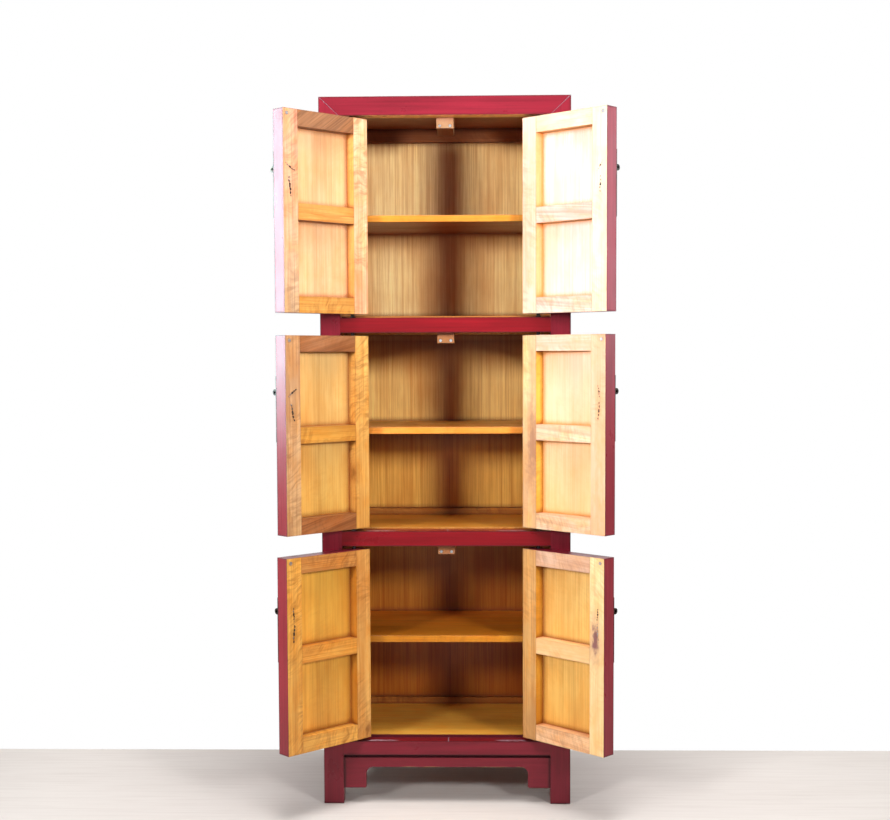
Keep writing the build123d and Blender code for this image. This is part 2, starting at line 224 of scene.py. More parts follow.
def wood(name, light, dark, ring=0.009, wander=0.012, contrast=0.6, curl=0.5, slant=0.0,
         quarter=False, gloss=0.36, knots=None, knot_colour=None, pore=0.28, mottle=0.85,
         knot_depth=0.65, toned=True, corner=(0.4, 0.24, 0.24)):
    """Varnished wood: uneven growth rings, fibres, pores, curl across the grain, clouds.

    slant tilts the grain across the board, quarter saws the board so that its rings run
    straight along it, and curl is the strength of the ripples across the grain. knots are
    a knot's inverse sizes along and across the grain. toned wood takes its board's tint.
    corner dims the dark wood for the painted shade in corners and creases.
    """
    g = Coat(name)
    place, seed, shifted = board_space(g)
    x, y, z = g.split(place)
    sx, sy, sz = g.split(seed)

    # Distance from a pith that lies off the board, pushed about by slow and quick noise
    slow = g.span(g.noise(shifted, 2.1, 6.0, 2.0), 0.2, 0.8, -wander, wander)
    quick = g.span(g.noise(shifted, 18.0, 60.0, 3.0), 0.2, 0.8, -0.0012, 0.0012)
    pith_y = g.span(sy, 0, 1, 0.22, 0.34) if quarter else g.span(sy, 0, 1, -0.05, 0.05)
    pith_z = g.span(sz, 0, 1, 0.0, 0.02) if quarter else g.span(sz, 0, 1, 0.035, 0.075)
    lean = g.times(x, slant)
    shifted = g.vector("ADD", shifted, g.join(0.0, lean, 0.0))
    across = g.plus(g.plus(y, pith_y), g.plus(slow, lean))
    radius = g.vector("LENGTH", g.join(across, g.plus(z, pith_z), 0.0), output=1)
    radius = g.plus(radius, quick)
    if knots:
        away = g.vector("SUBTRACT", place, g.attribute("board_knot"))
        ragged = g.span(g.noise(shifted, 60.0, 100.0, 2.0), 0.3, 0.7, -0.35, 0.35)
        reach = g.vector("LENGTH", g.vector("MULTIPLY", away, (*knots, 14.0)), output=1)
        reach = g.plus(reach, ragged)
        bulge = g.math("EXPONENT", g.times(g.times(reach, reach), -0.5))
        radius = g.plus(radius, g.times(bulge, 0.02))
        knot_heart = g.span(reach, 1.0, 0.3, smooth=True)
        knot_halo = g.span(reach, 2.4, 0.6, smooth=True)

    # Rings of uneven width and depth
    turns = g.math("DIVIDE", radius, ring)
    uneven = g.noise(g.join(turns, g.times(sx, 40.0), 0.0), 0.7, 1.0, 2.0)
    turns = g.plus(turns, g.span(uneven, 0.2, 0.8, -0.9, 0.9))
    number = g.math("FLOOR", turns)
    chance = g.node("ShaderNodeTexWhiteNoise", {"W": number}, 0, noise_dimensions="1D")
    depth = g.math("POWER", chance, 2.0) if quarter else g.span(chance, 0, 1, 0.25, 1.0)
    turn = g.math("FRACT", turns)
    late = g.ramp(turn, [(0.0, 0.05), (0.5, 0.25), (0.84, 0.85), (0.95, 0.9), (1.0, 0.05)])
    rings = g.times(late, depth)

    fibre = g.noise(shifted, 5.0, 330.0, 4.0, 0.6)
    pores = g.span(g.noise(shifted, 22.0, 1100.0, 2.0, 0.6), 0.55, 0.72, smooth=True)
    pores = g.times(pores, g.span(turn, 0.0, 0.6, 1.0, 0.35))
    cloud = g.noise(shifted, 3.0, 8.0, 3.0)
    bend = g.span(g.noise(shifted, 9.0, 9.0, 2.0), 0.2, 0.8, -0.03, 0.03)
    bend = g.plus(bend, g.times(y, 0.4))
    ripple_place = g.vector("ADD", shifted, g.join(bend, 0.0, 0.0))
    ripple = g.noise(ripple_place, 105.0, 26.0, 3.0, 0.6)
    patches = g.span(g.noise(shifted, 6.0, 11.0, 2.0), 0.38, 0.62, 0.0, curl, smooth=True)
    streak = g.noise(shifted, 1.3, 95.0 if quarter else 48.0, 3.0, 0.55)
    blotch = g.noise(shifted, 15.0, 36.0, 4.0, 0.62)
    warm = dimmed(light, 0.97, 0.74, 0.44)
    share = g.times(rings, g.span(cloud, 0.3, 0.7, contrast * 0.7, contrast))
    colour = g.mix(g.span(blotch, 0.42, 0.68, 0.0, mottle), light, warm)
    colour = g.mix(share, colour, dark)
    bands = g.times(g.span(ripple, 0.44, 0.68, smooth=True), patches)
    for darkened in (
        g.span(fibre, 0.47, 0.66, 0.0, 0.55 * contrast + 0.08),
        g.span(streak, 0.46, 0.7, 0.0, 0.65 * contrast),
        g.span(cloud, 0.46, 0.7, 0.0, 0.6),
        g.times(bands, 0.4),
    ):
        colour = g.mix(darkened, colour, dark)
    shimmer = g.times(g.span(ripple, 0.3, 0.7, 0.16, -0.16), patches)
    tone = g.times(g.span(sx, 0, 1, 0.93, 1.05), g.span(fibre, 0.2, 0.8, 1.06, 0.94))
    tone = g.times(tone, g.plus(shimmer, 1.0))
    colour = g.scaled(colour, tone)
    if toned:
        colour = g.vector("MULTIPLY", colour, g.attribute("board_tone"))
    colour = g.mix(g.times(pores, pore), colour, dimmed(dark, 0.5))
    if knots:
        heart = knot_colour or dimmed(dark, 0.4)
        halo = tuple(blend(heart, dark, 0.5))
        colour = g.mix(g.times(knot_halo, 0.6), colour, halo)
        colour = g.mix(g.times(knot_heart, knot_depth), colour, heart)

    # Old varnish gathers near the arrises and along the joints at the ends of a board; painted shade darkens the
    # corners and creases
    to_arris, to_end = edge_distance(g, place)
    soil = g.times(g.span(to_arris, 0.004, 0.0, 0.0, 0.35), g.span(cloud, 0.3, 0.6))
    colour = g.mix(soil, colour, dimmed(dark, 0.55))
    colour = g.mix(g.span(to_end, 0.0012, 0.0004, 0.0, 0.4), colour, dimmed(dark, 0.5))
    # painted shade in the corners and creases, from ambient occlusion
    colour = g.mix(g.crease_shade(0.016, 0.85), colour, dimmed(dark, *corner))

    height = g.plus(g.times(rings, -0.3), g.times(pores, -1.0))
    height = g.plus(height, g.times(fibre, 0.5))
    rough = g.span(cloud, 0.2, 0.8, gloss - 0.05, gloss + 0.12)
    normal = g.bump(height, 0.4, 0.0005)
    return g.finish(
        Base_Color=colour, Roughness=rough, Normal=normal, Specular_IOR_Level=VARNISH_SHEEN
    )


def lacquer(name, light, dark, scuffed=False):
    """Lacquer over wood: brushed, glazed dark near the arrises, rubbed on some of them.

    It is painted darker towards the floor, as shade where the lamps' light falls off, and darker in its creases.
    scuffed adds the marks of the doors on a ledge.
    """
    g = Coat(name)
    place, seed, shifted = board_space(g)
    to_arris, _ = edge_distance(g, place)
    x, y, z = g.split(g.node("ShaderNodeTexCoord", {}, "Object"))

    cloud = g.noise(shifted, 3.0, 9.0, 3.0)
    smear = g.noise(shifted, 6.0, 60.0, 4.0, 0.6)
    brush = g.noise(shifted, 2.5, 190.0, 3.0, 0.6)
    patch = g.noise(shifted, 11.0, 16.0, 4.0, 0.65)
    grain = g.noise(shifted, 9.0, 420.0, 3.0, 0.6)
    colour = g.mix(g.span(cloud, 0.35, 0.75, 0.0, 0.7), light, dark)
    colour = g.mix(g.span(smear, 0.42, 0.72, 0.0, 0.6), colour, dark)
    colour = g.scaled(colour, g.span(brush, 0.3, 0.7, 1.1, 0.84))
    colour = g.mix(g.span(grain, 0.55, 0.72, 0.0, 0.25), colour, GLAZE_AND_CREASE_SHADE)
    # painted shade: darker towards the floor, where the lamps' light falls off
    colour = g.mix(g.span(z, 0.3, 0.07, 0.0, 0.3), colour, FALLOFF_SHADE)
    band = g.times(g.span(patch, 0.25, 0.7, 0.3, 1.3), 0.0045)
    glaze = g.math("SUBTRACT", 1.0, g.math("DIVIDE", to_arris, band), clamp=True)
    colour = g.mix(g.times(glaze, 0.75), colour, GLAZE_AND_CREASE_SHADE)
    specks = g.span(g.noise(shifted, 210.0, 330.0, 1.0), 0.72, 0.77)
    colour = g.mix(g.times(specks, 0.5), colour, GLAZE_AND_CREASE_SHADE)
    if scuffed:  # a rubbed line where each door turns, and a tick in the middle
        aside = g.math("ABSOLUTE", x)
        run = g.times(g.span(aside, 0.125, 0.15), g.span(aside, 0.225, 0.205))
        off_line = g.math("ABSOLUTE", g.math("SUBTRACT", y, SCUFF_LINE))
        worn_line = g.times(run, g.span(off_line, 0.0075, 0.0045))
        rub = g.span(g.noise(shifted, 70.0, 260.0, 3.0), 0.4, 0.56, 0.0, 0.8)
        colour = g.mix(g.times(worn_line, rub), colour, SCUFF)
        off_tick = g.math("ABSOLUTE", g.math("SUBTRACT", x, 0.004))
        colour = g.mix(g.span(off_tick, 0.0016, 0.0006, 0.0, 0.6), colour, SCUFF)
    arris = g.attribute("arris", "Fac")
    rub = g.span(g.noise(shifted, 16.0, 50.0, 5.0, 0.75), 0.5, 0.62)
    worn = g.times(arris, g.times(rub, g.attribute("wear", "Fac")))
    colour = g.mix(worn, colour, WORN_WOOD)
    # painted shade: the lacquer darkens in corners and creases, from ambient occlusion
    colour = g.mix(g.crease_shade(0.012, 0.7), colour, GLAZE_AND_CREASE_SHADE)
    height = g.plus(g.times(grain, 0.5), g.times(smear, 0.6))
    rough = g.plus(g.span(patch, 0.2, 0.8, 0.24, 0.38), g.times(glaze, 0.15))
    normal = g.bump(height, 0.35, 0.0004)
    return g.finish(
        Base_Color=colour, Roughness=rough, Normal=normal, Specular_IOR_Level=LACQUER_SHEEN
    )


def metal(name, bright, dark, rub_low=0.45, rough_low=0.28, rough_high=0.5):
    """Metal with a dark patina that is rubbed away in patches and on the arrises."""
    g = Coat(name)
    _, _, shifted = board_space(g)
    patina = g.noise(shifted, 60.0, 60.0, 6.0, 0.65)
    hammer = g.noise(shifted, 240.0, 240.0, 2.0)
    rub = g.span(patina, rub_low, rub_low + 0.3)
    rub = g.math("MAXIMUM", rub, g.times(g.attribute("arris", "Fac"), 0.7))
    colour = g.mix(rub, dark, bright)
    rough = g.span(patina, 0.3, 0.7, rough_high, rough_low)
    normal = g.bump(g.plus(hammer, g.times(patina, 0.5)), 0.25, 0.0006)
    return g.finish(Base_Color=colour, Roughness=rough, Normal=normal, Metallic=1.0)


def putty(name):
    """Dry filler in a joint that has opened: pale, matt and a little stained."""
    g = Coat(name)
    _, _, shifted = board_space(g)
    stain = g.noise(shifted, 90.0, 90.0, 4.0, 0.65)
    colour = g.mix(g.span(stain, 0.45, 0.75, 0.0, 0.6), PUTTY, dimmed(PUTTY, 0.45))
    return g.finish(Base_Color=colour, Roughness=0.8, Normal=g.bump(stain, 0.5, 0.0005))


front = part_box("top_front_rail")[0].y
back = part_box("rear_posts")[1].y
SCUFF_LINE = front + 0.011
KNOT, STAIN, STREAK = (60.0, 105.0), (25.0, 80.0), (13.0, 60.0)  # inverse sizes of knots
# the tint of the painted shade in the corners of the pale woods
WARM_CREASE_SHADE = (0.85, 0.48, 0.16)
WOODS = {  # light and dark colour, and what sets each wood apart
    "golden": ((0.92, 0.53, 0.165), (0.5, 0.17, 0.03), dict(
        curl=1.25, contrast=0.72, knots=KNOT)),
    "tan": ((0.86, 0.48, 0.2), (0.4, 0.14, 0.045), dict(curl=1.0, contrast=0.72, knots=KNOT)),
    "russet": (*RUSSET, dict(slant=0.7, ring=0.012, contrast=0.9, curl=0.2)),
    "chestnut": (*RUSSET, dict(slant=0.25, ring=0.014, contrast=0.62, curl=0.4, wander=0.016)),
    "fawn": ((0.88, 0.5, 0.23), (0.46, 0.19, 0.085), dict(
        curl=0.5, knots=STREAK, knot_colour=(0.36, 0.17, 0.11), knot_depth=0.55)),
    "bright": ((0.86, 0.41, 0.062), (0.58, 0.22, 0.028), dict(curl=0.9)),
    "straw": ((0.93, 0.66, 0.28), (0.74, 0.38, 0.1), dict(curl=0.5, corner=WARM_CREASE_SHADE)),
    "panel": ((0.94, 0.57, 0.205), (0.62, 0.25, 0.05), dict(
        ring=0.007, wander=0.004, contrast=0.4, mottle=0.4, curl=0.15, quarter=True, pore=0.18)),
    "back": ((0.98, 0.72, 0.375), (0.6, 0.24, 0.08), dict(
        ring=0.0075, wander=0.003, contrast=0.72, mottle=0.2, curl=0.05, quarter=True, pore=0.35)),
    "side": ((0.42, 0.19, 0.075), (0.24, 0.095, 0.032), dict(
        ring=0.0075, wander=0.003, contrast=0.42, curl=0.05, quarter=True, pore=0.22)),
    "cream": ((0.93, 0.74, 0.5), (0.74, 0.45, 0.23), dict(
        contrast=0.55, curl=0.8, knots=STAIN, knot_colour=(0.2, 0.07, 0.085), knot_depth=0.9,
        pore=0.15, mottle=0.7, corner=WARM_CREASE_SHADE)),
    "rosy": ((0.92, 0.66, 0.45), (0.58, 0.28, 0.16), dict(
        contrast=0.65, curl=0.8, slant=0.08, pore=0.2, corner=WARM_CREASE_SHADE)),
    "cream_panel": ((0.94, 0.77, 0.51), (0.78, 0.5, 0.2), dict(
        ring=0.008, wander=0.004, contrast=0.4, curl=0.1, quarter=True, pore=0.12, mottle=0.3,
        corner=WARM_CREASE_SHADE)),
    "amber": ((0.8, 0.335, 0.058), (0.44, 0.145, 0.021), dict(
        wander=0.006, contrast=0.45, curl=0.2)),
    "honey": ((0.94, 0.43, 0.07), (0.6, 0.235, 0.032), dict(
        wander=0.006, contrast=0.4, curl=0.2)),
    # a dark wood for undersides and faces that lie in shade: painted shade
    "umber": ((0.31, 0.085, 0.024), (0.15, 0.038, 0.012), dict(contrast=0.5)),
    "orange": ((0.8, 0.37, 0.06), (0.5, 0.19, 0.024), dict(contrast=0.45)),
    "pale": ((0.84, 0.56, 0.4), (0.58, 0.3, 0.18), dict(ring=0.005, gloss=0.6)),
    "stained": ((0.3, 0.15, 0.07), (0.15, 0.07, 0.032), dict(gloss=0.5, toned=False)),
}
materials = {
    "lacquer": lacquer("crimson_lacquer", *CRIMSON),
    "scarlet": lacquer("scarlet_lacquer", *SCARLET),
    "ledge": lacquer("ledge_lacquer", *SCARLET, scuffed=True),
    "left_edge": lacquer("left_edge_lit_lacquer", *LIT_LEFT_EDGE),
    "right_edge": lacquer("right_edge_lit_lacquer", *LIT_RIGHT_EDGE),
    "brass": metal("aged_brass", *BRASS),
    "iron": metal("dark_iron", *IRON, 0.5, 0.4, 0.6),
    "nickel": metal("magnet_nickel", *NICKEL, 0.3, 0.18, 0.3),
    "steel": metal("strike_steel", STEEL, dimmed(STEEL, 0.6), 0.3, 0.35, 0.5),
    "putty": putty("joint_filler"),
}
for key, (light, dark, settings) in WOODS.items():
    materials[key] = wood(f"{key}_wood", light, dark, **settings)

# ---- dressing the solids
X, Y, Z = ROW_AXES = (Vector((1, 0, 0)), Vector((0, 1, 0)), Vector((0, 0, 1)))
ORIGIN = Vector((0, 0, 0))
SHARP = radians(30)  # edges that turn more than this are eased
FLAT = radians(0.6)  # and those that turn less are dissolved
FAR = Vector((9, 9, 9))  # a knot that is on no board
NEAR = 0.003
FACING = 0.7  # a face looks along an axis when its normal has at least this share of it
USUAL_WEAR = 0.25
BODIES = frame["record"]["behaviour"]["bodies"]


def door_axes(joint):
    """Unit vectors of a door at rest: hinge edge to free edge, outer to inner face, up."""
    side = joint["axis"][2]
    angle = -radians(joint["range_deg"][0])
    along = Vector((-side * cos(angle), -sin(angle), 0))
    through = Vector((-side * sin(angle), cos(angle), 0))
    return along, through, Z


def islands(bm):
    """The vertices of each separate solid."""
    left = set(bm.verts)
    while left:
        stack = [min(left, key=lambda v: v.index)]
        found = set(stack)
        while stack:
            for edge in stack.pop().link_edges:
                for vert in edge.verts:
                    if vert not in found:
                        found.add(vert)
                        stack.append(vert)
        left -= found
        yield sorted(found, key=lambda v: v.index)


def rounded_edges(bm, edges, offset, segments):
    return bmesh.ops.bevel(bm, geom=edges, offset=offset, offset_type="OFFSET", profile=0.5,
                           segments=segments, affect="EDGES", clamp_overlap=True, material=-1)


def extent(points):
    low = Vector([min(p[i] for p in points) for i in range(3)])
    high = Vector([max(p[i] for p in points) for i in range(3)])
    return low, high


def record_boards(bm, turn, origin, grain, knots, tone, widen, lean):
    """Write each board's coordinates, half size, seed, knot and tone on its vertices.

    widen and lean move the ends or one side out of reach of the glaze on the arrises.
    """
    place, half, seed, knot, tint = (
        bm.verts.layers.float_vector.new("board_" + name)
        for name in ("place", "half", "seed", "knot", "tone")
    )
    bm.verts.index_update()
    for verts in islands(bm):
        local = [turn @ (v.co - origin) for v in verts]
        low, high = extent(local)
        size = high - low
        order = sorted(range(3), key=lambda i: -size[i])
        if grain is not None:
            order.sort(key=lambda i: i != grain)
        board_seed = Vector([rng.random() for _ in range(3)])
        middle = (low + high) / 2
        spot = knots(middle) if knots else None
        spot = Vector([(Vector(spot) - middle)[i] for i in order]) if spot else FAR
        reach = size / 2 + widen + Vector([abs(c) for c in lean])
        for vert, point in zip(verts, local):
            centred = point - middle - lean
            vert[place] = Vector([centred[i] for i in order])
            vert[half] = Vector([reach[i] for i in order])
            vert[tint] = tone(point) if tone else WHITE
            vert[seed] = board_seed
            vert[knot] = spot


def stand_for(node, bm, used):
    """The finished piece of a node, riding on the node's body."""
    mesh = bpy.data.meshes.new(node + "_dressed")
    bm.to_mesh(mesh)
    bm.free()
    for key in used:
        mesh.materials.append(materials[key])
    piece = bpy.data.objects.new(node + "_dressed", mesh)
    bpy.context.scene.collection.objects.link(piece)
    smoother = piece.modifiers.new("normals", "WEIGHTED_NORMAL")
    smoother.keep_sharp = True
    smoother.weight = 100
    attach(piece, next(b for b, nodes in BODIES.items() if node in nodes))
    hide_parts(node)


def dress(node, finish, axes=ROW_AXES, origin=ORIGIN, grain=None, ease=0.0012, knots=None,
          flush=None, seam=None, bare=None, wear=None, change=None, tone=None,
          widen=ORIGIN, lean=ORIGIN):
    """A copy of a CAD node with eased arrises, board coordinates and a material on each face.

    finish(centre, normal) gives the material's key for a face, in the given axes and origin.
    grain is the axis, 0 to 2, along which the boards run; by default it is the longest.
    flush is an axis whose end faces meet another board without an eased arris.
    seam(centre) is true on arrises filled with putty. bare is the material of arrises
    between two finishes. wear(centre) says how far an arris is rubbed. change(bm, local)
    alters the mesh before anything else, where local turns a point into the given axes.
    tone(point) is the tint of the wood, and knots(middle) the place of a board's knot.
    """
    bm = bmesh.new()
    bm.from_mesh(frame["nodes"][node].data)
    bmesh.ops.remove_doubles(bm, verts=bm.verts, dist=1e-6)
    bmesh.ops.dissolve_limit(bm, angle_limit=FLAT, verts=bm.verts, edges=bm.edges)
    turn = Matrix(axes).to_3x3()

    def local(point):
        return turn @ (point - origin)

    if change:
        change(bm, local)
    used = []

    def index(key):
        if key not in used:
            used.append(key)
        return used.index(key)

    for face in bm.faces:
        centre = local(face.calc_center_median())
        face.material_index = index(finish(centre, turn @ face.normal))

    ends = set()
    if flush is not None:
        bm.verts.index_update()
        for verts in islands(bm):
            reach = {v: local(v.co)[flush] for v in verts}
            low, high = min(reach.values()), max(reach.values())
            ends.update(v for v, r in reach.items() if min(r - low, high - r) < 1e-5)
    sharp = [
        e for e in bm.edges
        if len(e.link_faces) == 2 and e.calc_face_angle(0) > SHARP
        and not (e.verts[0] in ends and e.verts[1] in ends)
    ]
    arris = bm.faces.layers.float.new("arris")
    wearing = bm.faces.layers.float.new("wear")
    strips = rounded_edges(bm, sharp, ease, 2)["faces"]
    rounded = set(strips)
    for face in strips:
        centre = local(face.calc_center_median())
        face[arris] = 1.0
        face[wearing] = wear(centre) if wear else USUAL_WEAR
        face.smooth = True
        if seam and seam(centre):
            face.material_index = index("putty")
        elif bare:
            strip = {f for e in face.edges for f in e.link_faces} & rounded
            around = {f for part in strip for e in part.edges for f in e.link_faces} - rounded
            if len({f.material_index for f in around}) > 1:
                face.material_index = index(bare)
    record_boards(bm, turn, origin, grain, knots, tone, widen, lean)
    stand_for(node, bm, used)


# ---- the carcass
half_width = -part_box("front_post_left")[0].x
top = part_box("top_front_rail")[1].z
case_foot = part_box("bottom_front_rail")[0].z
apron_foot = case_foot - 0.034
lip_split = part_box("bottom_front_rail")[1].z + 0.1  # above the lowest lip, below the others
top_rail_foot = top - 0.2
ALL_BUT_BACK = (X, -X, -Y, Z, -Z)
OUT_OF_REACH = Vector((0.1, 0, 0))  # of the glaze on the arrises
FOOT_ROUNDING = 0.005


def facing(other, **coats):
    """Finishes of the faces that look in given directions, and one finish for the others."""

    def finish(centre, normal):
        for coat, directions in coats.items():
            if any(normal.dot(direction) > FACING for direction in directions):
                return coat
        return other

    return finish


def lacquered_below(height, upper):
    return lambda centre, normal: "lacquer" if centre.z < height else upper(centre, normal)


def side_finish(inner):
    """Lacquer outside, one wood inside and a stain on the back."""

    def finish(centre, normal):
        if normal.x * centre.x > 0 and abs(normal.x) > FACING:
            return "lacquer"
        if normal.y > FACING and centre.y > back - NEAR:
            return "stained"
        if normal.z > FACING and centre.z > top - NEAR:
            return "lacquer"
        return inner

    return finish


def rear_rail_finish(centre, normal):
    """Stained outside, lacquered on top; inside the topmost takes the dark wood as painted shade, the others
    golden.
    """
    if normal.y > FACING:
        return "stained"
    if normal.z > FACING and centre.z > top - NEAR:
        return "lacquer"
    return "umber" if centre.z > top_rail_foot else "golden"


def shape_feet(bm, local):
    """Round the foot of each leg, and part the legs from the posts above them."""
    low = [e for e in bm.edges if all(v.co.z < 1e-5 for v in e.verts)]
    rounded_edges(bm, low, FOOT_ROUNDING, 4)
    sliced_at([case_foot])(bm, local)


def mitre(centre):
    """Whether a place is on the front or top arris of a mitred corner of the face frame."""
    off_joint = abs((half_width - abs(centre.x)) - (top - centre.z))
    return off_joint < 0.003 and (centre.y < front + 0.004 or centre.z > top - 0.004)


def apron_wear(centre):
    """The lower edge of an apron is rubbed through."""
    return 1.6 if apron_foot - 0.004 < centre.z < apron_foot + 0.022 else 0.2


def by_height(*stops):
    """A tint that changes with the height: stops are (height, tint), lowest first."""

    def tone(point):
        for (low_z, low_tint), (high_z, high_tint) in zip(stops, stops[1:]):
            if point.z < high_z or high_z == stops[-1][0]:
                return blend(low_tint, high_tint, share_between(low_z, high_z, point.z))

    return tone


def sliced_at(places, normal=Z, origin=ORIGIN):
    """A change that cuts lines into the faces, level ones by default, where the tint turns."""

    def change(bm, local):
        for place in places:
            bmesh.ops.bisect_plane(bm, geom=bm.verts[:] + bm.edges[:] + bm.faces[:],
                                   plane_co=origin + normal * place, plane_no=normal)

    return change


for hand in ("left", "right"):
    inner_side = OUT_OF_REACH if hand == "left" else -OUT_OF_REACH
    dress(f"front_post_{hand}", lacquered_below(case_foot, facing("umber", lacquer=ALL_BUT_BACK)),
          ease=0.0016, seam=mitre, lean=inner_side, change=shape_feet)
    dress(f"side_apron_{hand}", side_finish("stained"), ease=0.0015, wear=apron_wear)
dress("rear_posts", lacquered_below(case_foot, side_finish("side")), ease=0.0016,
      change=shape_feet)
dress("top_front_rail", facing("umber", golden=[-Z], lacquer=[-Y, Z]), ease=0.0014, seam=mitre)
for rail in ("upper_mid_rail", "lower_mid_rail"):
    dress(rail, facing("umber", scarlet=[-Y], ledge=[Z]), ease=0.0014, flush=0,
          widen=OUT_OF_REACH)
dress("bottom_front_rail", facing("umber", lacquer=[-Y, -Z], ledge=[Z]), ease=0.0014, flush=0,
      widen=OUT_OF_REACH)
dress("side_rails", side_finish("side"), flush=1)
dress("side_panels", side_finish("side"), grain=2)
# painted shade: the rear rails inside are darker in the lower tiers
dress("rear_rails", rear_rail_finish, grain=0, tone=by_height(
    (0, (0.55, 0.4, 0.35)), (1.0, (0.75, 0.62, 0.5)), (1.3, (1.3, 1.7, 2.4)),
    (top, (1.3, 1.7, 2.4))
))
# painted shade: the back panels are darker at their tops, under their shelves and in the lower tiers
BACK_TONES = (  # (height, tint): each panel is darker at its top and under its shelf
    (0.17, (0.48, 0.2, 0.05)), (0.42, (0.51, 0.23, 0.065)), (0.69, (0.65, 0.42, 0.13)),
    (0.72, (0.98, 0.79, 0.33)), (0.9, (0.94, 0.72, 0.3)), (0.965, (0.25, 0.125, 0.08)),
    (0.99, (1.02, 0.95, 0.59)), (1.11, (1.0, 0.93, 0.62)), (1.18, (0.7, 0.55, 0.34)),
    (1.225, (0.32, 0.19, 0.12)),
    (1.28, (1.1, 1.2, 1.07)), (1.42, (1.1, 1.18, 1.05)), (1.54, (0.84, 0.68, 0.52)),
    (1.55, (1.07, 1.11, 0.98)), (1.84, (1.06, 1.05, 0.9)),
)
# CORE is (x, share) of the painted shadow band in the middle, where neither lamp reaches. SLOPES is
# (height up to which it holds, how much paler each channel is painted at the left post than in the middle).
CORE = ((-0.085, 1.0), (-0.04, 0.86), (-0.012, 0.68), (0.014, 0.8), (0.05, 1.0))
SLOPES = ((0.72, (0.18, 0.28, 0.2)), (1.28, (0.08, 0.1, 0.08)), (top, (0.08, 0.14, 0.24)))


def back_tint(point):
    """Painted shade: darkest where neither lamp reaches, and painted a little paler towards the left."""
    share = 1.0
    for (x, tone), (next_x, next_tone) in zip(CORE, CORE[1:]):
        if x < point.x <= next_x:
            share = tone + (next_tone - tone) * (point.x - x) / (next_x - x)
    slope = next(s for limit, s in SLOPES if point.z < limit)
    tint = by_height(*BACK_TONES)(point)
    shade = (share, share ** 1.55, share ** 1.3)
    return [c * d * (1 - s * point.x / half_width) for c, d, s in zip(tint, shade, slope)]


def slice_back(bm, local):
    """Cut the panels where their tint turns."""
    sliced_at([height for height, _ in BACK_TONES])(bm, local)
    sliced_at([x for x, _ in CORE], X)(bm, local)


dress("back_panels", facing("back", stained=[Y]), grain=2, tone=back_tint, change=slice_back)
dress("top_panel", facing("umber", lacquer=[Z]), grain=0)
# painted light and shade: the compartment floors are tinted by height, palest in the bottom one
dress("floor_boards", facing("honey", orange=[-Y], umber=[-Z]), grain=0, tone=by_height(
    (0, (1.1, 1.3, 1.25)), (0.7, (0.92, 0.84, 0.72)), (top, (0.95, 0.9, 1))
))
SHELF_DEPTH = 0.4
# painted light and shade: each shelf is tinted from front to back by how the lamps reach it
SHELF_TINTS = {  # front and back
    "top": ((1.0, 0.92, 0.82), (1.0, 0.92, 0.82)),
    "middle": ((1.12, 0.86, 0.86), (1.24, 1.55, 1.75)),
    "bottom": ((0.68, 0.58, 0.19), (1.2, 0.94, 0.55)),
}
for tier, (front_tint, rear_tint) in SHELF_TINTS.items():

    def shelf_tint(point):
        return blend(front_tint, rear_tint, share_between(0, SHELF_DEPTH, point.y - front))

    dress(f"{tier}_shelf", facing("amber", orange=[-Y], umber=[-Z]), grain=0, ease=0.0018,
          tone=shelf_tint)
dress("shelf_battens", facing("umber"))
# painted shade: the catch blocks are darker in the lower tiers
dress("catch_blocks", facing("pale", umber=[-Z]), tone=by_height(
    (0, (0.55, 0.32, 0.14)), (1.2, (0.48, 0.29, 0.105)), (top, (0.78, 0.8, 0.66))
))
dress("catch_magnets", facing("nickel"), ease=0.0004)
dress("front_apron", facing("umber", lacquer=ALL_BUT_BACK), ease=0.0018, wear=apron_wear,
      flush=0, widen=Vector((-0.004, 0, 0)))
dress("floor_lips", lacquered_below(lip_split, facing("golden")), grain=0, flush=0)

# ---- door hardware
PLATE_RISE = 0.066
PLATE_THICKNESS = 0.0016
PLATE_GAP = 0.0012
EYE_INSET = 0.02
LOCK_EYE_RISE = 0.042
PULL_EYE_DROP = 0.006
BOSS_TOP = 0.0046
STRIKE_REACH = 0.0175  # from the door's free edge to the far side of its strike
BAR = (0.0026, 0.0022, 0.165)  # size of the bar along the plate's straight edge
RINGS = (  # chased rings on the plate: inner and outer radius, height
    (0.0798, 0.083, 0.0011), (0.06, 0.0614, 0.0005),
    (0.057, 0.0577, 0.0004), (0.0322, 0.0336, 0.0005),
)
NAILS, NAIL_CIRCLE = 21, 0.0685
PETALS, PETAL_CIRCLE = 9, 0.0079
LEG_POINTS = 25
LOCK_LEG, PULL_LEG = 0.017, 0.024


def ring_of(bm, centre, across, up, radius, sides):
    """A circle of new vertices."""
    turns = [2 * pi * s / sides for s in range(sides)]
    return [bm.verts.new(centre + (across * cos(t) + up * sin(t)) * radius) for t in turns]


def skin(bm, rings):
    """Smooth faces from each ring to the next."""
    for low, high in zip(rings, rings[1:]):
        for s in range(len(low)):
            t = (s + 1) % len(low)
            bm.faces.new((low[s], low[t], high[t], high[s])).smooth = True


def half_ring(bm, centre, axes, profile, steps=40):
    """A section swept half round an axis: profile points are (radius, height)."""
    across, up, out = axes
    rows = []
    for n in range(steps + 1):
        angle = -pi / 2 + pi * n / steps
        ray = across * cos(angle) + up * sin(angle)
        rows.append([bm.verts.new(centre + ray * r + out * h) for r, h in profile])
    skin(bm, rows)
    bm.faces.new(list(reversed(rows[0])))
    bm.faces.new(rows[-1])


